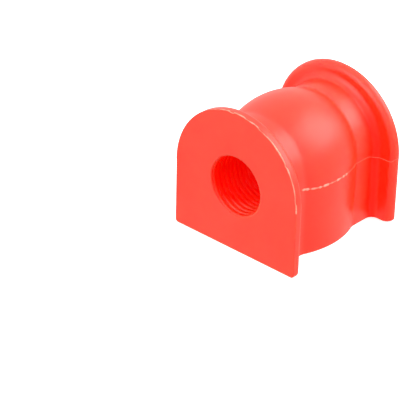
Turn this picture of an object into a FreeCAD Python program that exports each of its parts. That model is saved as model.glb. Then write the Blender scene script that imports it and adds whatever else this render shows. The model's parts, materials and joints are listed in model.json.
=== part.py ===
"""Sway bar bushing: a one-piece polyurethane bush with a D outline, moulded around a straight bar bore.

Frame: millimetres, +Z up. The flat seat lies on z = 0, the bore runs along +Y, and the
origin is the middle of the seat. The front end face is at y = -LENGTH / 2.

Build order: the flanges and the body between them are each a plan swept half a turn for the
arch and extruded straight down to the seat. A ring around the bore is threaded on its own and
then joined in, so the finished bush is one solid.
"""
import math
import os

import FreeCAD
import Part

# overall
WIDTH = 50.0  # across the two end flanges
LENGTH = 50.0  # end face to end face, along the bore
BORE_HEIGHT = 22.6  # seat to bore axis

# end flanges, which locate the bush either side of the bracket
FLANGE_RADIUS = WIDTH / 2
FLANGE_ARCH_HEIGHT = 23.0  # seat to the centre of their arch
FRONT_THICKNESS = 3.4
REAR_THICKNESS = 2.9
FRONT_RIM_ROUND = 1.6  # on the rim's inner edge
REAR_RIM_ROUND = 2.2
FLANGE_FOOT_ROUND = 0.9  # lower corners, seen along the bore

# body between the flanges, which the bracket clamps; its arch stands higher than the flanges'
BODY_ARCH_HEIGHT = 24.9  # seat to the centre of the arch
BODY_ROOT_ROUND = 2.6  # where it meets each flange
COLLAR_RADIUS = 17.7
BELLY_RADIUS = 20.3  # at mid length
BELLY_ARC = 30.0  # radius of the belly's curve along the bore
BELLY_BLEND = 5.0  # hollow between the belly and each collar

# bore, for a 20 mm bar
BORE_RADIUS = 10.1
MOUTH_ROUND = 0.4
SLEEVE_RADIUS = 13.0  # construction only: the ring threaded before it joins the body

# grease thread: one right-hand groove, running out at both mouths
THREAD_PITCH = 1.95
GROOVE_DEPTH = 0.6
GROOVE_MOUTH = 0.85  # width at the bore wall
GROOVE_ROOT = 0.25  # width at the bottom
GROOVE_START_DEG = 5.0  # where the groove's middle meets the front face, from +X towards +Z

HALF = LENGTH / 2
FRONT_CHEEK = -HALF + FRONT_THICKNESS
REAR_CHEEK = HALF - REAR_THICKNESS
ACROSS = FreeCAD.Vector(1, 0, 0)
ALONG = FreeCAD.Vector(0, 1, 0)
UP = FreeCAD.Vector(0, 0, 1)
ORIGIN = FreeCAD.Vector(0, 0, 0)


def point(x, y, z=FLANGE_ARCH_HEIGHT):
    """A point at the height of the flanges' arch centre, unless another height is given."""
    return FreeCAD.Vector(x, y, z)


def arc(start, centre, radius, end):
    """The short way round from start to end about centre."""
    middle = (start + end) * 0.5 - centre
    middle.normalize()
    return Part.Arc(start, centre + middle * radius, end).toShape()


def d_solid(side, low, high, height):
    """A solid with a D outline. side draws its +X half from y = low to y = high, at z = height."""
    axis = Part.makeLine(point(0, low, height), point(0, high, height))
    half_plan = Part.Face(Part.Wire(Part.sortEdges(side + [axis])[0]))
    arch = half_plan.revolve(point(0, 0, height), ALONG, -180)
    other_side = [edge.mirror(ORIGIN, ACROSS) for edge in side]
    plan = Part.Face(Part.Wire(Part.sortEdges(side + other_side)[0]))
    return arch.fuse(plan.extrude(UP * -height)).removeSplitter()


def flange(thickness, rim_round):
    """The D plate at the front, with its inner edge and its lower corners rounded."""
    cheek = -HALF + thickness
    centre = point(FLANGE_RADIUS - rim_round, cheek - rim_round)
    rim = point(FLANGE_RADIUS, -HALF)
    rim_end = point(FLANGE_RADIUS, centre.y)
    cheek_end = point(centre.x, cheek)
    side = [
        Part.makeLine(point(0, -HALF), rim),
        Part.makeLine(rim, rim_end),
        arc(rim_end, centre, rim_round, cheek_end),
        Part.makeLine(cheek_end, point(0, cheek)),
    ]
    plate = d_solid(side, -HALF, cheek, FLANGE_ARCH_HEIGHT)
    r = FLANGE_FOOT_ROUND
    for x in (FLANGE_RADIUS - r, r - FLANGE_RADIUS):
        corner = Part.makeBox(r, thickness, r, point(min(x, x * FLANGE_RADIUS / abs(x)), -HALF, 0))
        plate = plate.cut(corner.cut(Part.makeCylinder(r, thickness, point(x, -HALF, r), ALONG)))
    return plate


def body_between():
    """The waisted body from cheek to cheek: root, collar, hollow blend and belly, and back again."""
    def at(radius, along):
        return point(radius, along, BODY_ARCH_HEIGHT)

    belly_centre = at(BELLY_RADIUS - BELLY_ARC, 0)
    reach = BELLY_ARC + BELLY_BLEND
    blend_across = COLLAR_RADIUS + BELLY_BLEND - belly_centre.x
    blend_along = math.sqrt(reach ** 2 - blend_across ** 2)

    side = []
    for end, cheek in ((-1, FRONT_CHEEK), (1, REAR_CHEEK)):
        cheek_end = at(COLLAR_RADIUS + BODY_ROOT_ROUND, cheek)
        root_centre = at(COLLAR_RADIUS + BODY_ROOT_ROUND, cheek - end * BODY_ROOT_ROUND)
        collar_end = at(COLLAR_RADIUS, root_centre.y)
        blend_centre = at(COLLAR_RADIUS + BELLY_BLEND, end * blend_along)
        collar_foot = at(COLLAR_RADIUS, blend_centre.y)
        belly_foot = belly_centre + (blend_centre - belly_centre) * (BELLY_ARC / reach)
        side += [
            Part.makeLine(at(0, cheek), cheek_end),
            arc(cheek_end, root_centre, BODY_ROOT_ROUND, collar_end),
            Part.makeLine(collar_end, collar_foot),
            arc(collar_foot, blend_centre, BELLY_BLEND, belly_foot),
            arc(belly_foot, belly_centre, BELLY_ARC, at(BELLY_RADIUS, 0)),
        ]
    return d_solid(side, FRONT_CHEEK, REAR_CHEEK, BODY_ARCH_HEIGHT)


def sleeve():
    """The ring of material around the bore, drawn along +Z and threaded, then laid on the bore axis.

    The groove is cut in a longer ring, which is trimmed afterwards, so that it runs out
    cleanly at both end faces.
    """
    spare = 2 * THREAD_PITCH
    long_ring = ring(BORE_RADIUS, SLEEVE_RADIUS, -HALF - spare, HALF + spare)
    grooved = long_ring.cut(thread_cutter(spare / 2))
    trimmed = grooved.common(ring(BORE_RADIUS / 2, SLEEVE_RADIUS * 2, -HALF, HALF))
    for end in (-1, 1):
        trimmed = trimmed.cut(mouth_cutter(end))
    turn = FreeCAD.Rotation(ACROSS, 90)
    trimmed.Placement = FreeCAD.Placement(point(0, 0, BORE_HEIGHT), turn)
    return trimmed


def ring(inner, outer, low, high):
    """A tube about +Z."""
    base = FreeCAD.Vector(0, 0, low)
    return Part.makeCylinder(outer, high - low, base).cut(Part.makeCylinder(inner, high - low, base))


def thread_cutter(past):
    """The groove's section swept along a right-hand helix about +Z, reaching past both ends.

    Once laid down, +Z is the front, so the groove's middle passes z = HALF at the angle
    where it meets the front face.
    """
    height = LENGTH + 2 * past
    helix = Part.makeHelix(THREAD_PITCH, height, BORE_RADIUS)
    inside = 0.4
    slope = (GROOVE_MOUTH - GROOVE_ROOT) / 2 / GROOVE_DEPTH
    top = GROOVE_MOUTH / 2 + slope * inside
    root = GROOVE_ROOT / 2
    corners = [
        FreeCAD.Vector(BORE_RADIUS - inside, 0, -top),
        FreeCAD.Vector(BORE_RADIUS + GROOVE_DEPTH, 0, -root),
        FreeCAD.Vector(BORE_RADIUS + GROOVE_DEPTH, 0, root),
        FreeCAD.Vector(BORE_RADIUS - inside, 0, top),
    ]
    section = Part.makePolygon(corners + corners[:1])
    groove = Part.Wire(helix).makePipeShell([section], True, True)
    groove.translate(FreeCAD.Vector(0, 0, -HALF - past))
    climb = (LENGTH + past) / THREAD_PITCH * 360
    groove.rotate(ORIGIN, UP, GROOVE_START_DEG - climb)
    return groove


def mouth_cutter(end):
    """The waste outside one mouth's rounding, about +Z; end is -1 or 1."""
    wide = BORE_RADIUS + MOUTH_ROUND
    inside = BORE_RADIUS - 1
    flat = HALF - MOUTH_ROUND
    past = HALF + 1

    def at(radius, height):
        return FreeCAD.Vector(radius, 0, height * end)

    edges = [
        arc(at(wide, HALF), at(wide, flat), MOUTH_ROUND, at(BORE_RADIUS, flat)),
        Part.makeLine(at(BORE_RADIUS, flat), at(inside, flat)),
        Part.makeLine(at(inside, flat), at(inside, past)),
        Part.makeLine(at(inside, past), at(wide, past)),
        Part.makeLine(at(wide, past), at(wide, HALF)),
    ]
    face = Part.Face(Part.Wire(edges))
    return face.revolve(ORIGIN, UP, 360)


def bushing():
    """The finished bush as one solid."""
    front = flange(FRONT_THICKNESS, FRONT_RIM_ROUND)
    rear = flange(REAR_THICKNESS, REAR_RIM_ROUND)
    rear.rotate(ORIGIN, UP, 180)
    outer = body_between().fuse([front, rear])
    core = Part.makeCylinder(SLEEVE_RADIUS, LENGTH, point(0, -HALF, BORE_HEIGHT), ALONG)
    return outer.cut(core).fuse(sleeve()).removeSplitter()


os.makedirs("parts", exist_ok=True)

body = bushing()
if body.ShapeType != "Solid":
    body = body.Solids[0]
body.exportStep("parts/bushing_body.step")

box = body.BoundBox
print("solids", len(body.Solids), "valid", body.isValid())
print("box", box.XMin, box.XMax, box.YMin, box.YMax, box.ZMin, box.ZMax)
print("volume cm3", body.Volume / 1000, "faces", len(body.Faces))
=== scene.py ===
import json
import math

import bmesh
import bpy
import numpy as np
from bpy.props import FloatProperty, FloatVectorProperty, PointerProperty
from mathutils import Matrix, Vector


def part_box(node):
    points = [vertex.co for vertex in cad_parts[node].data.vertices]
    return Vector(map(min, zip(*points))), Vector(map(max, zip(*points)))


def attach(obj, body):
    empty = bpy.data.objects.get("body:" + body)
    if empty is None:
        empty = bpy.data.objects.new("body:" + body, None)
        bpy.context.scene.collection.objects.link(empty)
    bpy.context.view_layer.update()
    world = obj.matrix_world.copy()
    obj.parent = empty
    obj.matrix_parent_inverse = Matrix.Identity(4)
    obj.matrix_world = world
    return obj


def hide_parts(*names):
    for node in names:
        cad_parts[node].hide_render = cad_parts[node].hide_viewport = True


bl_info = {
    "name": "Sway Bar Bushing",
    "version": (1, 0, 0),
    "blender": (4, 5, 0),
    "location": "3D View > Sidebar > Bushing",
    "description": "Builds the moulded skin of a polyurethane sway bar bushing on its CAD frame",
    "category": "Add Mesh",
}

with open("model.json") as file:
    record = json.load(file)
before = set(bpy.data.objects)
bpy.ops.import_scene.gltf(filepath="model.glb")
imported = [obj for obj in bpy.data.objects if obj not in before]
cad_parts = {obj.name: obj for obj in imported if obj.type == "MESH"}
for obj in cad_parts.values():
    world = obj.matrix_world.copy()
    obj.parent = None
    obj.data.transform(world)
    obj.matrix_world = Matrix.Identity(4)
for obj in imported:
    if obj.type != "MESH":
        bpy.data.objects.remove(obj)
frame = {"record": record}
BODY = "bushing_body"
LOW, HIGH = (np.array(corner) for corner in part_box(BODY))
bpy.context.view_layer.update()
MM = 0.001
BORE = next(mount for mount in frame["record"]["mounts"] if mount["name"] == "bar_bore")

# how far the groove's section is softened, as shares of its half width at the root and mouth
ROOT_SOFTENING = 0.6
MOUTH_SOFTENING = 0.88
# where rows of points stand across one pitch of the groove, as shares of the pitch from its middle
GROOVE_STATIONS = (-0.5, -0.34, -0.20, -0.14, -0.07, 0.0, 0.07, 0.14, 0.20, 0.34)
# where rows stand across a flat end face, as shares of the way from the mouth to the outer edge
FACE_STATIONS = (0.015, 0.05, 0.12, 0.25, 0.45, 0.65, 0.82, 0.93, 0.98, 0.995)
SAME_POINT = 0.0005 * MM  # points closer than this are merged

# how strongly painted shade deepens the recess beside each flange, as a share of the painted shade deep
# in the bore, which is 1
PAINTED_RECESS_SHADE = 0.65

# beads of torn flash
BEAD_POINTS = 520  # along each bead
BEAD_SIDES = 8
LOWEST_BEAD = 0.35  # height of an untorn bead, as a share of the highest


# ---------------------------------------------------------------------------
# Sizes, colours and stage
# ---------------------------------------------------------------------------


def length_property(name, description, value):
    """A length in metres with its default."""
    return FloatProperty(
        name=name,
        description=description,
        default=value,
        min=0.0,
        subtype="DISTANCE",
        unit="LENGTH",
        precision=5,
    )


class BushSizes(bpy.types.PropertyGroup):
    """Sizes of the moulding, in metres."""

    width: length_property("Width", "Across the end flanges", float(HIGH[0] - LOW[0]))
    length: length_property("Length", "End face to end face", float(HIGH[1] - LOW[1]))
    axis: length_property("Bore height", "Seat to bore axis", BORE["pos_m"][2])
    flange_axis: length_property("Flange arch height", "Seat to centre of the flanges' arch", 23.0 * MM)
    body_axis: length_property("Body arch height", "Seat to centre of the body's arch", 24.9 * MM)
    bore: length_property("Bore radius", "To the crest of the ridges", BORE["dims"]["r_mm"] * MM)
    collar: length_property("Collar radius", "Half width of the waist beside each flange", 17.7 * MM)
    belly: length_property("Belly radius", "Half width at mid length", 20.3 * MM)
    belly_arc: length_property("Belly curve", "Radius of the belly along the bore", 30.0 * MM)
    belly_blend: length_property("Belly blend", "Hollow between belly and collar", 5.0 * MM)
    front_flange: length_property("Front flange", "Its thickness", 3.4 * MM)
    rear_flange: length_property("Rear flange", "Its thickness", 2.9 * MM)
    front_rim: length_property("Front rim rounding", "Inner edge of the front rim", 1.6 * MM)
    rear_rim: length_property("Rear rim rounding", "Inner edge of the rear rim", 2.2 * MM)
    root_round: length_property("Root rounding", "Between flange and collar", 2.6 * MM)
    foot_round: length_property("Foot rounding", "Lower corners of the flanges", 0.9 * MM)
    body_foot: length_property("Body foot rounding", "Lower edges between the flanges", 0.2 * MM)
    face_edge: length_property("Face edge rounding", "Outer edge of each end face", 0.15 * MM)
    mouth_round: length_property("Mouth rounding", "Edge of the bore at each face", 0.4 * MM)
    pitch: length_property("Thread pitch", "Spacing of the grease groove", 1.95 * MM)
    groove: length_property("Groove depth", "Depth of the grease groove", 0.6 * MM)
    groove_mouth: length_property("Groove mouth", "Width at the bore wall", 0.85 * MM)
    groove_root: length_property("Groove root", "Width at the bottom", 0.25 * MM)
    groove_start: FloatProperty(
        name="Groove start",
        description="Angle where the groove runs out at the front face",
        default=math.radians(5.0),
        subtype="ANGLE",
        unit="ROTATION",
    )
    flash: length_property("Flash height", "How far torn flash stands proud", 0.14 * MM)
    flash_width: length_property("Flash width", "Widest torn flash", 0.50 * MM)
    flash_creep: length_property("Flash creep", "How far it strays in from the face's edge", 0.30 * MM)


class BushColours(bpy.types.PropertyGroup):
    """Colours of the polyurethane, its painted shade and its scuffed flash, in linear values."""

    skin: FloatVectorProperty(
        name="Polyurethane", description="Body colour", default=(1.0, 0.040, 0.009),
        subtype="COLOR", size=3, min=0.0, max=1.0,
    )
    deep: FloatVectorProperty(
        name="Deep tone", description="Colour of the slight clouding", default=(1.0, 0.033, 0.006),
        subtype="COLOR", size=3, min=0.0, max=1.0,
    )
    # painted shade: the deeper red put deep in the bore and in the recess beside each flange, where
    # light hardly reaches
    hidden: FloatVectorProperty(
        name="Hidden", description="Colour where light hardly reaches", default=(1.0, 0.010, 0.001),
        subtype="COLOR", size=3, min=0.0, max=1.0,
    )
    chalk: FloatVectorProperty(
        name="Chalk", description="Colour of torn flash", default=(1.0, 0.42, 0.31),
        subtype="COLOR", size=3, min=0.0, max=1.0,
    )


class StageSettings(bpy.types.PropertyGroup):
    """Camera, lights and floor."""

    azimuth: FloatProperty(
        name="Azimuth", description="Camera angle round the bush", default=math.radians(42.4565),
        subtype="ANGLE", unit="ROTATION",
    )
    elevation: FloatProperty(
        name="Elevation", description="Camera angle above the seat", default=math.radians(29.9414),
        subtype="ANGLE", unit="ROTATION",
    )
    roll: FloatProperty(
        name="Roll", description="Camera turn about its own axis", default=math.radians(1.259),
        subtype="ANGLE", unit="ROTATION",
    )
    distance: length_property("Distance", "Camera to aim point", 0.6599)
    lens: FloatProperty(name="Lens", description="Focal length in mm", default=188.774, min=1.0)
    aim: FloatVectorProperty(
        name="Aim", description="Point that the camera looks at",
        default=(-0.013005, -0.026646, 0.013197), subtype="TRANSLATION", unit="LENGTH", size=3,
    )
    world: FloatProperty(name="Room light", description="Strength of the white room", default=1.10)
    key: FloatProperty(name="Key", description="Soft box above and behind, in watts", default=1.7)
    fill: FloatProperty(name="Fill", description="Soft box at the front, in watts", default=0.7)


# ---------------------------------------------------------------------------
# Surfaces
# ---------------------------------------------------------------------------


def line(start, end, count):
    """Points evenly spaced from start to end: start + t (end - start), t from 0 to 1."""
    t = np.linspace(0.0, 1.0, count)[:, None]
    return np.array(start) + t * (np.array(end) - np.array(start))


def arc(centre, radius, first, last, count):
    """Points on a circle: centre + radius (cos a, sin a), a from first to last in degrees."""
    angle = np.radians(np.linspace(first, last, count))
    return np.array(centre) + radius * np.stack([np.cos(angle), np.sin(angle)], axis=1)


def half_profile(size, thick, round_in):
    """The outer profile from one end face to mid length: (radius, distance from face, body share).

    A quarter circle off the face, a rim line, a quarter circle of radius round_in over the rim's
    inner edge, the cheek at the distance thick, a quarter circle at its root, the collar, a hollow
    blend and half of the belly's arc, each meeting its neighbour along a tangent. Body share is 0
    on the flange and 1 on the body, and climbs evenly across the cheek.
    """
    half = size.length / 2
    rim = size.width / 2
    edge = size.face_edge
    root = size.root_round
    reach = size.belly_arc + size.belly_blend
    belly_centre = size.belly - size.belly_arc
    lift = size.collar + size.belly_blend - belly_centre
    run = math.sqrt(reach ** 2 - lift ** 2)
    tilt = math.degrees(math.atan2(run, lift))
    parts = [
        arc((rim - edge, edge), edge, -90, 0, 6),
        line((rim, edge), (rim, thick - round_in), 4)[1:],
        arc((rim - round_in, thick - round_in), round_in, 0, 90, 13)[1:],
        line((rim - round_in, thick), (size.collar + root, thick), 6)[1:],
        arc((size.collar + root, thick + root), root, -90, -180, 13)[1:],
        line((size.collar, thick + root), (size.collar, half - run), 8)[1:],
        arc((size.collar + size.belly_blend, half - run), size.belly_blend, 180, 180 - tilt, 7)[1:],
        arc((belly_centre, half), size.belly_arc, -tilt, 0, 18)[1:],
    ]
    cheek = 3
    share = [np.full(len(part), float(number > cheek)) for number, part in enumerate(parts)]
    share[cheek] = np.linspace(0.0, 1.0, len(parts[cheek]) + 1)[1:]
    return np.column_stack([np.concatenate(parts), np.concatenate(share)])


def side_profile(size):
    """The outer profile from the front face to the rear face, as rows of (radius, y, body share)."""
    half = size.length / 2
    front = half_profile(size, size.front_flange, size.front_rim)
    rear = half_profile(size, size.rear_flange, size.rear_rim)[-2::-1]
    return np.concatenate([front - [0, half, 0], rear * [1, -1, 1] + [0, half, 0]])


def outline_columns():
    """The D outline as columns that any half width r can use.

    A column stands at x = r * across + c * inset and z = centre * stem + c * foot + r * rise,
    where c is the foot rounding and centre the height of the arch's centre: the arch is half a
    circle of radius r, the sides drop straight to the foot rounding, and the seat closes the
    loop at z = 0.
    """
    arch = np.linspace(0, math.pi, 129)
    drop = np.concatenate([np.linspace(0, 1.0, 19)[1:-1], [0.975, 1.0]])
    turn = np.radians(np.linspace(0, 90, 7))[1:]
    seat = np.concatenate([[0.985, 0.96], np.linspace(0.92, -0.92, 37), [-0.96, -0.985]])
    ones = np.ones

    def side(sign, order):
        leg = [sign * ones(drop.size), 0 * drop, 1 - drop, drop, 0 * drop]
        foot = [sign * ones(turn.size), sign * (np.cos(turn) - 1), 0 * turn, 1 - np.sin(turn), 0 * turn]
        block = np.concatenate([leg, foot], axis=1)
        return block[:, ::order]

    top = np.stack([np.cos(arch), 0 * arch, ones(arch.size), 0 * arch, np.sin(arch)])
    base = np.stack([-seat, seat, 0 * seat, 0 * seat, 0 * seat])
    return np.concatenate([top, side(-1.0, 1), base, side(1.0, -1)], axis=1)


def outline_rings(size, radius, along, share, columns):
    """Rows of the D outline: one closed ring at each station along, of half width radius.

    share goes from the flange's arch centre and foot rounding, at 0, to the body's, at 1.
    """
    across, inset, stem, foot, rise = columns
    radius, share = radius[:, None], share[:, None]
    c = size.foot_round + share * (size.body_foot - size.foot_round)
    centre = size.flange_axis + share * (size.body_axis - size.flange_axis)
    x = radius * across + c * inset
    z = centre * stem + c * foot + radius * rise
    y = np.broadcast_to(along[:, None], x.shape)
    return np.stack([x, y, z], axis=-1)


def column_angles(size, columns):
    """The angle of each column about the bore axis, rising from 0 at +X to just under a turn."""
    ring = outline_rings(size, np.array([size.width / 2]), np.zeros(1), np.zeros(1), columns)[0]
    return np.arctan2(ring[:, 2] - size.axis, ring[:, 0]) % (2 * math.pi)


def smooth(value, low, high):
    """0 below low, 1 above high and 3t^2 - 2t^3 between them."""
    t = np.clip((value - low) / (high - low), 0.0, 1.0)
    return t * t * (3 - 2 * t)


def wall_radius(size, along, angle):
    """The bore wall at a station and angle: crest radius plus the groove.

    The groove's middle line is y = front - pitch * (angle - start) / turn, repeated every pitch,
    and its section falls smoothly from the crest to a narrow root. Near each face the wall
    opens as a quarter circle, and the deeper of the two shapes wins.
    """
    turns = (along + size.length / 2) / size.pitch + (angle - size.groove_start) / (2 * math.pi)
    off = np.abs(turns - np.round(turns)) * size.pitch
    low, high = size.groove_root / 2 * ROOT_SOFTENING, size.groove_mouth / 2 * MOUTH_SOFTENING
    grooved = size.bore + size.groove * (1 - smooth(off, low, high))
    reach = np.clip(np.abs(along) - (size.length / 2 - size.mouth_round), 0.0, size.mouth_round)
    opened = size.bore + size.mouth_round - np.sqrt(size.mouth_round ** 2 - reach ** 2)
    return np.maximum(grooved, opened)


def bore_wall(size, angle):
    """The bore wall between the mouth roundings: its points and its number of rows per pitch.

    Each row follows the thread, y = row - pitch * angle / turn, so that the groove's edges lie
    along rows, and rows that would pass a mouth stop there. The radius is wall_radius.
    """
    flat = size.length / 2 - size.mouth_round
    off = np.array(GROOVE_STATIONS)
    start = -size.length / 2 + size.pitch * size.groove_start / (2 * math.pi)
    count = int(math.ceil(size.length / size.pitch)) + 2
    rows = (start + size.pitch * (np.arange(count)[:, None] + off)).ravel()
    along = np.clip(rows[:, None] - size.pitch * angle / (2 * math.pi), -flat, flat)
    return round_rows(size, along, angle), off.size


def round_rows(size, along, angle):
    """Points of the bore wall: (R cos a, y, axis + R sin a) with R from wall_radius."""
    radius = wall_radius(size, along, angle)
    return np.stack([radius * np.cos(angle), along, size.axis + radius * np.sin(angle)], axis=-1)


def mouth_rows(size, angle, end):
    """The quarter circle from the bore wall out to one face; end is -1 at the front, 1 at the rear."""
    turn = np.radians(np.linspace(0, 90, 7))
    along = end * (size.length / 2 - size.mouth_round * (1 - np.sin(turn)))
    return round_rows(size, np.broadcast_to(along[:, None], (turn.size, angle.size)), angle)


def face_rows(inner, outer):
    """The flat of an end face: inner + t (outer - inner), with t crowded towards both edges."""
    t = np.array(FACE_STATIONS)
    return inner + t[:, None, None] * (outer - inner)


def grid_faces(first, rows, columns, shift=0):
    """Quads of a grid that closes on itself, with vertex numbers starting at first.

    Row i and i + 1 join along every column. Where the last column meets the first, row i meets
    row i - shift, which is how a helix closes; rows before the start meet row 0.
    """
    row = np.arange(rows - 1)[:, None]
    column = np.arange(columns)[None, :]
    right = (column + 1) % columns
    step = np.where(right == 0, shift, 0)
    low = np.maximum(row - step, 0)
    high = np.maximum(row + 1 - step, 0)
    corners = [row * columns + column, low * columns + right, high * columns + right]
    corners.append((row + 1) * columns + column)
    return first + np.stack(np.broadcast_arrays(*corners), axis=-1).reshape(-1, 4)


def solid_mesh(name, points, faces):
    """A closed, outward-facing mesh: shared points merged, slivers dropped, all faces smooth."""
    mesh = bpy.data.meshes.new(name)
    mesh.vertices.add(len(points))
    mesh.vertices.foreach_set("co", points.astype(np.float32).ravel())
    mesh.loops.add(faces.size)
    mesh.loops.foreach_set("vertex_index", faces.astype(np.int32).ravel())
    mesh.polygons.add(len(faces))
    mesh.polygons.foreach_set("loop_start", np.arange(0, faces.size, 4, dtype=np.int32))
    mesh.update(calc_edges=True)
    shape = bmesh.new()
    shape.from_mesh(mesh)
    bmesh.ops.remove_doubles(shape, verts=shape.verts, dist=SAME_POINT)
    if shape.calc_volume(signed=True) < 0:
        bmesh.ops.reverse_faces(shape, faces=shape.faces)
    shape.to_mesh(mesh)
    shape.free()
    mesh.polygons.foreach_set("use_smooth", np.ones(len(mesh.polygons), dtype=bool))
    mesh.update()
    return mesh


def point_places(mesh):
    """Where a mesh's points stand, as rows of x, y, z."""
    place = np.empty(len(mesh.vertices) * 3, dtype=np.float32)
    mesh.vertices.foreach_get("co", place)
    return place.reshape(-1, 3)


def write_point_values(mesh, name, values):
    """Store one value for each point under a name that a material can read."""
    held = mesh.attributes.new(name, "FLOAT", "POINT")
    held.data.foreach_set("value", np.ascontiguousarray(values, dtype=np.float32))


def painted_recess_shade(size, place):
    """Painted shade, 0 to 1, in the recess beside each flange, from its cheek to the collar.

    It climbs from 2 to 3.8 mm behind the end face, falls from 5 to 7.5 mm, and fades out over
    the arch from 10 to 22 mm above the bore axis. It is 0 inside the bore.
    """
    away = np.hypot(place[:, 0], place[:, 2] - size.axis)
    depth = (size.length / 2 - np.abs(place[:, 1])) / MM
    height = (place[:, 2] - size.axis) / MM
    cheek = smooth(depth, 2.0, 3.8)
    collar = smooth(depth, 5.0, 7.5)
    arch = smooth(height, 10.0, 22.0)
    return cheek * (1 - collar) * (1 - arch) * (away > size.bore + size.mouth_round + size.groove)


def painted_bore_shade(size, place):
    """Painted shade: 0 outside the bore and 1 deep on its wall, a fade with depth that is slower low on
    the right.

    It starts at the mouth and takes 3 mm over most of the wall. Where light falls in, 65 degrees
    below +X, it starts 5 mm in and takes 16 mm, and the cube of a cosine joins the two.
    """
    fade, lit_start, lit_extra = 3.0 * MM, 5.0 * MM, 13.0 * MM
    across, rise = place[:, 0], place[:, 2] - size.axis
    away = np.hypot(across, rise)
    lit = np.clip(np.cos(np.arctan2(rise, across) + math.radians(65.0)), 0, 1) ** 3
    depth = size.length / 2 - np.abs(place[:, 1]) - lit_start * lit
    on_wall = away < size.bore + size.mouth_round + size.groove
    return on_wall * smooth(depth / (fade + lit_extra * lit), 0.0, 1.0)


def skin_points(size):
    """Every point of the moulding's skin and the faces that join them.

    The skin is one closed tube: along the threaded bore, over the rear mouth, out across the
    rear face, along the outside to the front and back in across the front face.
    """
    columns = outline_columns()
    angle = column_angles(size, columns)
    wall, per_pitch = bore_wall(size, angle)

    radius, along, share = side_profile(size)[::-1].T
    outside = outline_rings(size, radius, along, share, columns)

    rear_mouth = mouth_rows(size, angle, 1)
    front_mouth = mouth_rows(size, angle, -1)[::-1]
    rest = np.concatenate([
        rear_mouth,
        face_rows(rear_mouth[-1], outside[0]),
        outside,
        face_rows(front_mouth[0], outside[-1])[::-1],
        front_mouth,
    ])
    faces = np.concatenate([
        grid_faces(0, len(wall), angle.size, per_pitch),
        grid_faces(wall.shape[0] * angle.size, len(rest), angle.size),
    ])
    return np.concatenate([wall.reshape(-1, 3), rest.reshape(-1, 3)]), faces


# ---------------------------------------------------------------------------
# Torn flash
# ---------------------------------------------------------------------------


def wander(count, step, seed):
    """Smooth noise from 0 to 1: random heights every step points, joined by cosine steps."""
    knots = np.random.default_rng(seed).random(count // step + 3)
    place = np.arange(count) / step
    left = place.astype(int)
    blend = (1 - np.cos(math.pi * (place - left))) / 2
    return knots[left] * (1 - blend) + knots[left + 1] * blend


def ridge(path, outward, width, height):
    """A bead along a path: path + side (w / 2) cos a + outward h sin a, shut at both ends."""
    forward = np.gradient(path, axis=0)
    forward /= np.linalg.norm(forward, axis=1, keepdims=True)
    side = np.cross(forward, outward)
    angle = np.linspace(0, 2 * math.pi, BEAD_SIDES, endpoint=False)
    taper = np.ones(len(path))
    taper[[0, -1]] = 0
    across = side[:, None] * (width * taper / 2)[:, None, None] * np.cos(angle)[:, None]
    up = outward[:, None] * (height * taper)[:, None, None] * np.sin(angle)[:, None]
    return path[:, None] + across + up


def edge_flash(size):
    """The bead along the arch's front edge: path, outward direction, width and how torn it is.

    The path is a half circle of radius R - strays(a), where strays is noise that steps in from
    the edge here and there. Left of the crown, from 1.7 to 2.3 radians round, the bead shrinks to
    a fine line.
    """
    count = BEAD_POINTS
    turn = np.linspace(0, math.pi, count)
    bevel = math.cos(math.pi / 4)
    inset = size.face_edge * (1 - bevel)
    torn = 1 - smooth(turn, 1.7, 2.3)
    strays = inset + size.flash_creep * torn * np.clip(2.2 * wander(count, 13, 3) - 1.0, 0, 1)
    radial = np.stack([np.cos(turn), 0 * turn, np.sin(turn)], axis=1)
    path = radial * (size.width / 2 - strays)[:, None]
    path += np.array([0, inset - size.length / 2, size.flange_axis])
    outward = radial * bevel - np.array([0, bevel, 0])
    ragged = wander(count, 10, 5) * (0.45 + 0.55 * wander(count, 3, 4))
    width = size.flash_width * (0.16 + torn * (0.34 + 0.50 * ragged))
    return path, outward, width, 0.12 + torn * (0.42 + 0.46 * ragged)


def seam_flash(size, sign, seed):
    """The bead at the foot of the flanges' arch, from rim to rim along one side of the body.

    It follows the outer profile. Near the front it is torn into flecks, and behind
    mid length it is a fine even line. It rises by up to 1.9 mm towards the front flange and
    dips by 0.9 mm in the rear recess, in smooth steps.
    """
    profile = side_profile(size)[:, :2]
    length = np.concatenate([[0], np.cumsum(np.linalg.norm(np.diff(profile, axis=0), axis=1))])
    count = BEAD_POINTS
    even = np.linspace(0, length[-1], count)
    radius = np.interp(even, length, profile[:, 0])
    along = np.interp(even, length, profile[:, 1])
    place = along / size.length
    rise = 1.9 * smooth(place, -0.445, -0.425) * (1 - smooth(place, -0.42, -0.14))
    rise -= 0.9 * smooth(place, 0.36, 0.43) * (1 - smooth(place, 0.445, 0.47))
    path = np.stack([sign * radius, along, size.flange_axis + rise * MM], axis=1)
    run = np.gradient(np.stack([radius, along], axis=1), axis=0)
    run /= np.linalg.norm(run, axis=1, keepdims=True)
    outward = np.stack([sign * run[:, 1], -run[:, 0], 0 * along], axis=1)
    fine = smooth(place, -0.285, -0.265)
    worn = fine * (1 - smooth(place, 0.09, 0.13))
    flecks = np.clip(3.4 * wander(count, 8, seed) - 1.0, 0, 1)
    flecks *= 0.6 + 0.4 * wander(count, 3, seed + 1)
    width = size.flash_width * (0.10 + 0.28 * fine + worn * (0.12 + 1.30 * flecks))
    return path, outward, width, 0.10 + 0.20 * fine + worn * (0.15 + 0.55 * flecks)


# ---------------------------------------------------------------------------
# Materials
# ---------------------------------------------------------------------------


def add_node(tree, kind, **values):
    """A node with its named inputs set; attributes of the node itself are given in lower case."""
    node = tree.nodes.new(kind)
    for name, value in values.items():
        if hasattr(node, name):
            setattr(node, name, value)
        else:
            node.inputs[name.replace("_", " ")].default_value = value
    return node


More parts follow.
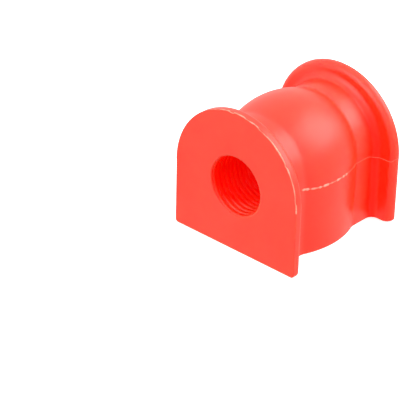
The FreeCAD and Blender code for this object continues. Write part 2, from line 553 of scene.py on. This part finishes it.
def cast_grain():
    """Group: slow clouding, a roughness that wanders with it, and the fine grain of a cast skin."""
    if "Cast grain" in bpy.data.node_groups:
        return bpy.data.node_groups["Cast grain"]
    tree = bpy.data.node_groups.new("Cast grain", "ShaderNodeTree")
    socket = tree.interface.new_socket
    socket("Vector", in_out="INPUT", socket_type="NodeSocketVector")
    usual = {"Cloud Scale": 60.0, "Grain Scale": 2600.0, "Smoothest": 0.4, "Roughest": 0.5}
    for name, value in usual.items():
        socket(name, in_out="INPUT", socket_type="NodeSocketFloat").default_value = value
    for name in ("Cloud", "Roughness", "Height"):
        socket(name, in_out="OUTPUT", socket_type="NodeSocketFloat")

    given = add_node(tree, "NodeGroupInput")
    made = add_node(tree, "NodeGroupOutput")
    link = tree.links.new
    cloud = add_node(tree, "ShaderNodeTexNoise", Detail=3.0, Roughness=0.55)
    grain = add_node(tree, "ShaderNodeTexNoise", Detail=2.0, Roughness=0.6)
    sway = add_node(tree, "ShaderNodeTexNoise", Detail=1.0)
    spread = add_node(tree, "ShaderNodeMapRange", From_Min=0.3, From_Max=0.7)
    rough = add_node(tree, "ShaderNodeMapRange", From_Min=0.3, From_Max=0.7)
    slow = add_node(tree, "ShaderNodeMath", operation="MULTIPLY")
    slow.inputs[1].default_value = 0.06
    mixed = add_node(tree, "ShaderNodeMix", data_type="FLOAT")
    mixed.inputs[0].default_value = 0.25
    for texture in (cloud, grain, sway):
        link(given.outputs["Vector"], texture.inputs["Vector"])
    link(given.outputs["Cloud Scale"], cloud.inputs["Scale"])
    link(given.outputs["Grain Scale"], grain.inputs["Scale"])
    link(given.outputs["Grain Scale"], slow.inputs[0])
    link(slow.outputs[0], sway.inputs["Scale"])
    link(cloud.outputs[0], spread.inputs["Value"])
    link(spread.outputs[0], made.inputs["Cloud"])
    link(cloud.outputs[0], rough.inputs["Value"])
    link(given.outputs["Smoothest"], rough.inputs["To Min"])
    link(given.outputs["Roughest"], rough.inputs["To Max"])
    link(rough.outputs[0], made.inputs["Roughness"])
    link(sway.outputs[0], mixed.inputs[2])
    link(grain.outputs[0], mixed.inputs[3])
    link(mixed.outputs[0], made.inputs["Height"])
    return tree


def new_material(name):
    """An empty node material with its output, and the tree to build in."""
    material = bpy.data.materials.new(name)
    material.use_nodes = True
    tree = material.node_tree
    tree.nodes.clear()
    return material, tree, add_node(tree, "ShaderNodeOutputMaterial")


def polyurethane(colours):
    """Cast red polyurethane: satin, slightly clouded, and letting red light soak through.

    Where the skin's painted shade value is 1, as deep in the bore, painted shade makes the colour
    deeper and the shine nearly gone, and a faint painted red emission stands for the light that soaks
    through the walls.
    """
    material, tree, out = new_material("Cast polyurethane")
    link = tree.links.new
    place = add_node(tree, "ShaderNodeTexCoord")
    grain = add_node(tree, "ShaderNodeGroup", node_tree=cast_grain())
    grain.inputs["Smoothest"].default_value = 0.34
    grain.inputs["Roughest"].default_value = 0.42
    tint = add_node(tree, "ShaderNodeMix", data_type="RGBA")
    tint.inputs[6].default_value = (*colours.skin, 1)
    tint.inputs[7].default_value = (*colours.deep, 1)
    bump = add_node(tree, "ShaderNodeBump", Strength=0.12, Distance=0.00005)
    shader = add_node(
        tree, "ShaderNodeBsdfPrincipled", Subsurface_Weight=1.0, Subsurface_Scale=0.02, IOR=1.6,
        Subsurface_Radius=(1.0, 0.08, 0.05), Emission_Color=(1.0, 0.0, 0.0, 1),
    )
    # painted shade read from the skin: it mixes in the deeper red, cuts the shine and drives a faint
    # painted red emission
    hidden = add_node(tree, "ShaderNodeAttribute", attribute_name="hidden")
    shade_dulled_shine = add_node(tree, "ShaderNodeMapRange", To_Min=0.5, To_Max=0.06)
    painted_glow = add_node(tree, "ShaderNodeMapRange", To_Min=0.0, To_Max=0.07)
    # painted shade: mixes the deeper red into the base colour where the painted shade value rises
    inner = add_node(tree, "ShaderNodeMix", data_type="RGBA")
    inner.inputs[7].default_value = (*colours.hidden, 1)
    link(place.outputs["Object"], grain.inputs["Vector"])
    link(grain.outputs["Cloud"], tint.inputs[0])
    link(hidden.outputs["Fac"], inner.inputs[0])
    link(tint.outputs[2], inner.inputs[6])
    link(inner.outputs[2], shader.inputs["Base Color"])
    link(hidden.outputs["Fac"], shade_dulled_shine.inputs["Value"])
    link(shade_dulled_shine.outputs[0], shader.inputs["Specular IOR Level"])
    link(hidden.outputs["Fac"], painted_glow.inputs["Value"])
    link(painted_glow.outputs[0], shader.inputs["Emission Strength"])
    link(grain.outputs["Roughness"], shader.inputs["Roughness"])
    link(grain.outputs["Height"], bump.inputs["Height"])
    link(bump.outputs[0], shader.inputs["Normal"])
    link(shader.outputs[0], out.inputs["Surface"])
    return material


def torn_flash(colours):
    """The same polyurethane where it was torn off: whitened where the bead stands highest."""
    material, tree, out = new_material("Torn flash")
    link = tree.links.new
    place = add_node(tree, "ShaderNodeTexCoord")
    grain = add_node(tree, "ShaderNodeGroup", node_tree=cast_grain())
    grain.inputs["Cloud Scale"].default_value = 900.0
    grain.inputs["Smoothest"].default_value = 0.6
    grain.inputs["Roughest"].default_value = 0.8
    torn = add_node(tree, "ShaderNodeAttribute", attribute_name="torn")
    tint = add_node(tree, "ShaderNodeMix", data_type="RGBA")
    tint.inputs[6].default_value = (*colours.skin, 1)
    tint.inputs[7].default_value = (*colours.chalk, 1)
    bump = add_node(tree, "ShaderNodeBump", Strength=0.4, Distance=0.00008)
    shader = add_node(
        tree, "ShaderNodeBsdfPrincipled", Subsurface_Weight=0.3, Subsurface_Scale=0.002, IOR=1.5,
        Subsurface_Radius=(1.0, 0.18, 0.10),
    )
    link(place.outputs["Object"], grain.inputs["Vector"])
    link(torn.outputs["Fac"], tint.inputs[0])
    link(tint.outputs[2], shader.inputs["Base Color"])
    link(grain.outputs["Roughness"], shader.inputs["Roughness"])
    link(grain.outputs["Height"], bump.inputs["Height"])
    link(bump.outputs[0], shader.inputs["Normal"])
    link(shader.outputs[0], out.inputs["Surface"])
    return material


def studio_floor():
    """Plain white paper, bright enough to read as the white of the room."""
    material, tree, out = new_material("White paper")
    shader = add_node(
        tree, "ShaderNodeBsdfPrincipled", Base_Color=(0.9, 0.9, 0.9, 1), Roughness=0.9,
        Emission_Color=(1, 1, 1, 1), Emission_Strength=0.55,
    )
    tree.links.new(shader.outputs[0], out.inputs["Surface"])
    return material


# ---------------------------------------------------------------------------
# Operators
# ---------------------------------------------------------------------------


def add_piece(name, mesh, material):
    """A piece of the bush: in the scene, on the only body, with its material."""
    piece = bpy.data.objects.new(name, mesh)
    bpy.context.scene.collection.objects.link(piece)
    mesh.materials.append(material)
    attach(piece, "root")
    return piece


class BUSHING_OT_skin(bpy.types.Operator):
    """Build the moulded skin over the CAD body"""

    bl_idname = "bushing.skin"
    bl_label = "Moulded Skin"

    def execute(self, context):
        size = context.scene.bush_sizes
        points, faces = skin_points(size)
        mesh = solid_mesh("bushing_skin", points, faces)
        place = point_places(mesh)
        # painted shade: full deep in the bore and weaker in the recess beside each flange; the material
        # turns it into deeper colour, less shine and a faint red emission
        hidden = np.maximum(painted_bore_shade(size, place), PAINTED_RECESS_SHADE * painted_recess_shade(size, place))
        write_point_values(mesh, "hidden", hidden)
        skin = add_piece("bushing_skin", mesh, polyurethane(context.scene.bush_colours))
        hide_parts(BODY)
        return {"FINISHED"}


class BUSHING_OT_flash(bpy.types.Operator):
    """Build the torn flash on the front edge and along both sides"""

    bl_idname = "bushing.flash"
    bl_label = "Torn Flash"

    def execute(self, context):
        size = context.scene.bush_sizes
        material = torn_flash(context.scene.bush_colours)
        beads = {
            "flash_front_edge": edge_flash(size),
            "flash_right_seam": seam_flash(size, 1, 11),
            "flash_left_seam": seam_flash(size, -1, 17),
        }
        for name, (path, outward, width, torn) in beads.items():
            height = size.flash * (LOWEST_BEAD + (1 - LOWEST_BEAD) * torn)
            rings = ridge(path, outward, width, height)
            faces = grid_faces(0, rings.shape[0], rings.shape[1])
            mesh = solid_mesh(name, rings.reshape(-1, 3), faces)
            nearest = np.abs(point_places(mesh)[:, None] - path[None]).sum(axis=2).argmin(axis=1)
            write_point_values(mesh, "torn", torn[nearest])
            add_piece(name, mesh, material)
        return {"FINISHED"}


def soft_box(name, aim, direction, distance, side, watts):
    """A square soft light at aim + distance * direction, facing aim."""
    light = bpy.data.lights.new(name, "AREA")
    light.shape = "SQUARE"
    light.size = side
    light.energy = watts
    lamp = bpy.data.objects.new(name, light)
    direction = Vector(direction).normalized()
    lamp.rotation_mode = "QUATERNION"
    lamp.rotation_quaternion = direction.to_track_quat("Z", "Y")
    lamp.location = Vector(aim) + direction * distance
    bpy.context.scene.collection.objects.link(lamp)
    return lamp


def white_room(strength):
    """An even white surround, a little dimmer from below and towards the low front right."""
    world = bpy.data.worlds.new("White room")
    world.use_nodes = True
    tree = world.node_tree
    link = tree.links.new
    place = add_node(tree, "ShaderNodeTexCoord")
    split = add_node(tree, "ShaderNodeSeparateXYZ")
    fade = add_node(tree, "ShaderNodeMapRange", From_Min=-0.4, From_Max=0.5, To_Min=0.9, To_Max=1.0)
    facing = add_node(tree, "ShaderNodeVectorMath", operation="DOT_PRODUCT")
    facing.inputs[1].default_value = Vector((0.62, -0.60, -0.35)).normalized()
    gap = add_node(tree, "ShaderNodeMapRange", From_Min=0.60, From_Max=0.95, To_Min=1.0, To_Max=0.75)
    mixed = add_node(tree, "ShaderNodeMath", operation="MULTIPLY")
    scale = add_node(tree, "ShaderNodeMath", operation="MULTIPLY")
    scale.inputs[1].default_value = strength
    link(place.outputs["Generated"], split.inputs[0])
    link(place.outputs["Generated"], facing.inputs[0])
    link(split.outputs["Z"], fade.inputs["Value"])
    link(facing.outputs["Value"], gap.inputs["Value"])
    link(fade.outputs[0], mixed.inputs[0])
    link(gap.outputs[0], mixed.inputs[1])
    link(mixed.outputs[0], scale.inputs[0])
    back = tree.nodes["Background"]
    back.inputs["Color"].default_value = (1, 1, 1, 1)
    link(scale.outputs[0], back.inputs["Strength"])
    return world


def camera_axes(azimuth, elevation, roll):
    """Right, up and back of a camera at that azimuth and elevation, turned by roll about back."""
    back = Vector((
        math.sin(azimuth) * math.cos(elevation),
        -math.cos(azimuth) * math.cos(elevation),
        math.sin(elevation),
    ))
    right = Vector((math.cos(azimuth), math.sin(azimuth), 0))
    up = back.cross(right)
    turned = right * math.cos(roll) + up * math.sin(roll)
    return turned, back.cross(turned), back


class BUSHING_OT_stage(bpy.types.Operator):
    """Set up the camera, the soft lights, the white room and the floor"""

    bl_idname = "bushing.stage"
    bl_label = "Studio"

    def execute(self, context):
        scene = context.scene
        stage = scene.bush_stage
        right, up, back = camera_axes(stage.azimuth, stage.elevation, stage.roll)
        camera = bpy.data.objects.new("camera", bpy.data.cameras.new("camera"))
        camera.data.sensor_width = 36.0
        camera.data.lens = stage.lens
        camera.data.clip_start = 0.05
        camera.data.clip_end = 20.0
        place = Matrix((right, up, back)).transposed().to_4x4()
        place.translation = Vector(stage.aim) + back * stage.distance
        camera.matrix_world = place
        scene.collection.objects.link(camera)
        scene.camera = camera

        centre = (LOW + HIGH) / 2
        soft_box("key", centre, (0.60, 0.60, 0.76), distance=0.5, side=0.42, watts=stage.key)
        soft_box("fill", centre, (-0.05, -0.80, 0.55), distance=0.4, side=0.36, watts=stage.fill)
        scene.world = white_room(stage.world)
        scene.view_settings.view_transform = "Standard"

        reach = 20 * float(HIGH[0])
        top = LOW[2] - 0.1 * MM
        corners = [(reach * x, reach * y, top) for x, y in ((-1, -1), (1, -1), (1, 1), (-1, 1))]
        mesh = bpy.data.meshes.new("floor")
        mesh.from_pydata(corners, [], [(0, 1, 2, 3)])
        mesh.materials.append(studio_floor())
        floor = bpy.data.objects.new("floor", mesh)
        floor.visible_diffuse = False
        floor.visible_glossy = False
        scene.collection.objects.link(floor)
        return {"FINISHED"}


class BUSHING_PT_panel(bpy.types.Panel):
    """Lists the bushing's operators and sizes"""

    bl_idname = "BUSHING_PT_panel"
    bl_label = "Sway Bar Bushing"
    bl_space_type = "VIEW_3D"
    bl_region_type = "UI"
    bl_category = "Bushing"

    def draw(self, context):
        layout = self.layout
        for operator in (BUSHING_OT_skin, BUSHING_OT_flash, BUSHING_OT_stage):
            layout.operator(operator.bl_idname)
        for group in (context.scene.bush_sizes, context.scene.bush_colours, context.scene.bush_stage):
            box = layout.box()
            for name in group.bl_rna.properties.keys():
                if name not in ("rna_type", "name"):
                    box.prop(group, name)


CLASSES = (
    BushSizes,
    BushColours,
    StageSettings,
    BUSHING_OT_skin,
    BUSHING_OT_flash,
    BUSHING_OT_stage,
    BUSHING_PT_panel,
)


def register():
    """Register the classes and hang the settings on the scene."""
    for cls in CLASSES:
        bpy.utils.register_class(cls)
    bpy.types.Scene.bush_sizes = PointerProperty(type=BushSizes)
    bpy.types.Scene.bush_colours = PointerProperty(type=BushColours)
    bpy.types.Scene.bush_stage = PointerProperty(type=StageSettings)


def unregister():
    """Take the settings and classes away again."""
    del bpy.types.Scene.bush_sizes
    del bpy.types.Scene.bush_colours
    del bpy.types.Scene.bush_stage
    for cls in reversed(CLASSES):
        bpy.utils.unregister_class(cls)


def main():
    register()
    bpy.ops.bushing.skin()
    bpy.ops.bushing.flash()
    bpy.ops.bushing.stage()


if __name__ == "__main__":
    main()
